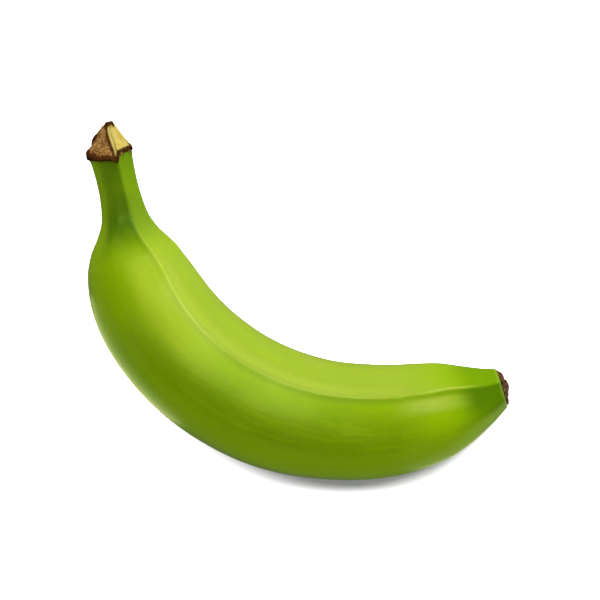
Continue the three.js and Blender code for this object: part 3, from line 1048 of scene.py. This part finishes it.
def scar_material():
    """A dry knob in a green margin. The knob is darkest in its lumps' hollows and in the gap at its
    edge, both painted shade, and its pale flecks are painted highlights.
    """
    nodes = Nodes("blossom_scar")
    level = nodes.attribute("scar_level")
    position = nodes.add("ShaderNodeTexCoord").outputs["Object"]
    lumps = nodes.noise(position, LUMP_PATTERN_WAVES, detail=4.0, roughness=0.6, distortion=0.5)
    highlight_flecks = nodes.noise(position, HIGHLIGHT_FLECK_WAVES, detail=2.0)
    # Painted shade in the lumps' hollows, where the bump is low, and painted highlights in pale
    # flecks
    colour = nodes.mix(nodes.ramp(lumps, *BROWN_LUMPS), SCAR_DARK, SCAR_BROWN)
    colour = nodes.mix(nodes.ramp(highlight_flecks, *HIGHLIGHT_FLECKS), colour, SCAR_HIGHLIGHT)
    colour = nodes.mix(nodes.ramp(level, *GREEN_MARGIN), colour, green_margin(nodes))
    # Painted shade in the gap between the green margin and the knob
    gap = nodes.product(nodes.ramp(level, *GAP_START), nodes.ramp(level, *GAP_END))
    colour = nodes.mix(gap, colour, SCAR_DARK)
    nodes.bump(lumps, strength=0.7, distance=0.0008)
    return nodes.finish(colour, roughness=0.5, specular=0.08)


# Looking straight down, with the height above the fruit's middle that gives the photo's scale
CAMERA_LENS = 100
CAMERA_SENSOR = 36
CAMERA_PLACE = (0.42, 0.38, 699.0)


def make_camera():
    camera = bpy.data.cameras.new("camera")
    camera.lens = CAMERA_LENS
    camera.sensor_width = CAMERA_SENSOR
    rig = bpy.data.objects.new("camera", camera)
    rig.location = Vector(CAMERA_PLACE) * METRES
    bpy.context.scene.collection.objects.link(rig)
    bpy.context.scene.camera = rig


# From here on, lengths are in metres.
FLOOR_SIZE = 8.0
FLOOR_DROP = 0.00005
FLOOR_WHITE = (0.7, 0.7, 0.7, 1)

# The surroundings give less light from the left. Their light grows between two values of X of
# the direction that it comes from.
WORLD_WHITE = (1, 1, 1, 1)
SURROUND_LIGHT = 0.56
SHADED_LIGHT = 0.42
SHADED_UNTIL = -0.9
FULL_FROM = 0.3


def make_floor():
    half = FLOOR_SIZE / 2
    corners = [(-half, -half, 0), (half, -half, 0), (half, half, 0), (-half, half, 0)]
    mesh = bpy.data.meshes.new("floor")
    mesh.from_pydata(corners, [], [(0, 1, 2, 3)])
    floor = bpy.data.objects.new("floor", mesh)
    floor.location.z = -FLOOR_DROP
    bpy.context.scene.collection.objects.link(floor)
    nodes = Nodes("pale_floor")
    mesh.materials.append(nodes.finish(FLOOR_WHITE, roughness=1.0, specular=0.0))
    return floor


def make_surroundings():
    """White surroundings with a shaded side, which the gloss doesn't show"""
    world = bpy.data.worlds.new("surroundings")
    bpy.context.scene.world = world
    world.use_nodes = True
    tree = world.node_tree
    background = tree.nodes["Background"]
    background.inputs["Color"].default_value = WORLD_WHITE
    direction = tree.nodes.new("ShaderNodeTexCoord").outputs["Generated"]
    axes = tree.nodes.new("ShaderNodeSeparateXYZ")
    tree.links.new(direction, axes.inputs["Vector"])
    light = tree.nodes.new("ShaderNodeMapRange")
    light.interpolation_type = "SMOOTHSTEP"
    light.inputs["From Min"].default_value = SHADED_UNTIL
    light.inputs["From Max"].default_value = FULL_FROM
    light.inputs["To Min"].default_value = SHADED_LIGHT
    light.inputs["To Max"].default_value = SURROUND_LIGHT
    tree.links.new(axes.outputs["X"], light.inputs["Value"])
    tree.links.new(light.outputs["Result"], background.inputs["Strength"])
    world.cycles_visibility.glossy = False


PURE_WHITE = (1.0, 1.0, 1.0)
WARM_WHITE = (1.0, 0.88, 0.55)
SOFT_WHITE = (1.0, 0.95, 0.5)
LEAF_LIGHT = (0.78, 1.0, 0.18)
FLOOR_GLOW = (0.98, 1.0, 0.5)
FLOOR_LIGHT_SIZE = 0.26
FLOOR_LIGHT_POWER = 13.0
GLOW_HEIGHT = 0.0005
FACING_UP = (math.pi, 0, 0)


def make_disk_light(name, place, size, power, colour, lit):
    """A round light that falls on one object alone; everything still throws its shadow"""
    lamp = bpy.data.lights.new(name, "AREA")
    lamp.shape = "DISK"
    lamp.size = size
    lamp.energy = power
    lamp.color = colour
    light = bpy.data.objects.new(name, lamp)
    light.location = place
    bpy.context.scene.collection.objects.link(light)
    receivers = bpy.data.collections.new(name + "_receivers")
    receivers.objects.link(lit)
    light.light_linking.receiver_collection = receivers
    return light


def aim(light, target):
    direction = Vector(target) - light.location
    light.rotation_euler = direction.to_track_quat("-Z", "Y").to_euler()


def make_softbox(name, place, target, size, power, colour, lit, only_gloss=False):
    """A soft light for one object, seen either in its colour or in its gloss"""
    light = make_disk_light(name, place, size, power, colour, lit)
    light.visible_diffuse = not only_gloss
    light.visible_glossy = only_gloss
    aim(light, target)


def make_floor_light(name, place, lit):
    """A light that makes the floor white, and doesn't bounce from it"""
    light = make_disk_light(name, place, FLOOR_LIGHT_SIZE, FLOOR_LIGHT_POWER, PURE_WHITE, lit)
    light.data.cycles.max_bounces = 0
    aim(light, (0, 0, 0))


def make_floor_glow(name, across, up, size, power, lit):
    """White floor beside the fruit, as its skin mirrors it at a glancing angle"""
    light = make_disk_light(name, (across, up, GLOW_HEIGHT), size, power, FLOOR_GLOW, lit)
    light.rotation_euler = FACING_UP
    light.visible_camera = False
    light.visible_diffuse = False


def make_lights(fruit, floor):
    make_softbox(
        "key_light", place=(0.07, 0.47, 0.38), target=(-0.02, 0, 0.02),
        size=0.55, power=3.25, colour=WARM_WHITE, lit=fruit)
    make_softbox(
        "gloss_light", place=(0.05, 0.29, 0.53), target=(0, 0, 0.02),
        size=0.42, power=13.0, colour=SOFT_WHITE, lit=fruit, only_gloss=True)
    make_softbox(
        "top_gloss_light", place=(-0.05, 0.02, 0.75), target=(0, 0, 0.02),
        size=0.4, power=17.0, colour=LEAF_LIGHT, lit=fruit, only_gloss=True)
    make_softbox(
        "side_light", place=(0.5, 0.25, 0.15), target=(-0.07, 0.05, 0.02),
        size=0.3, power=1.3, colour=WARM_WHITE, lit=fruit)
    # The shadows of the two floor lights meet only below the middle of the fruit.
    make_floor_light("left_floor_light", place=(-0.25, 0.18, 0.69), lit=floor)
    make_floor_light("right_floor_light", place=(0.14, 0.18, 0.69), lit=floor)
    make_floor_glow("left_floor_glow", across=-0.119, up=-0.056, size=0.11, power=0.11, lit=fruit)
    make_floor_glow("right_floor_glow", across=0.115, up=-0.09, size=0.12, power=0.058, lit=fruit)


bpy.context.scene.view_settings.view_transform = "Standard"

make_camera()
floor = make_floor()
make_surroundings()

fruit = make_fruit()
for material in (peel_material(), crown_material(), scar_material()):
    fruit.data.materials.append(material)
make_lights(fruit, floor)

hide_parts("plantain")
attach(fruit, "root")
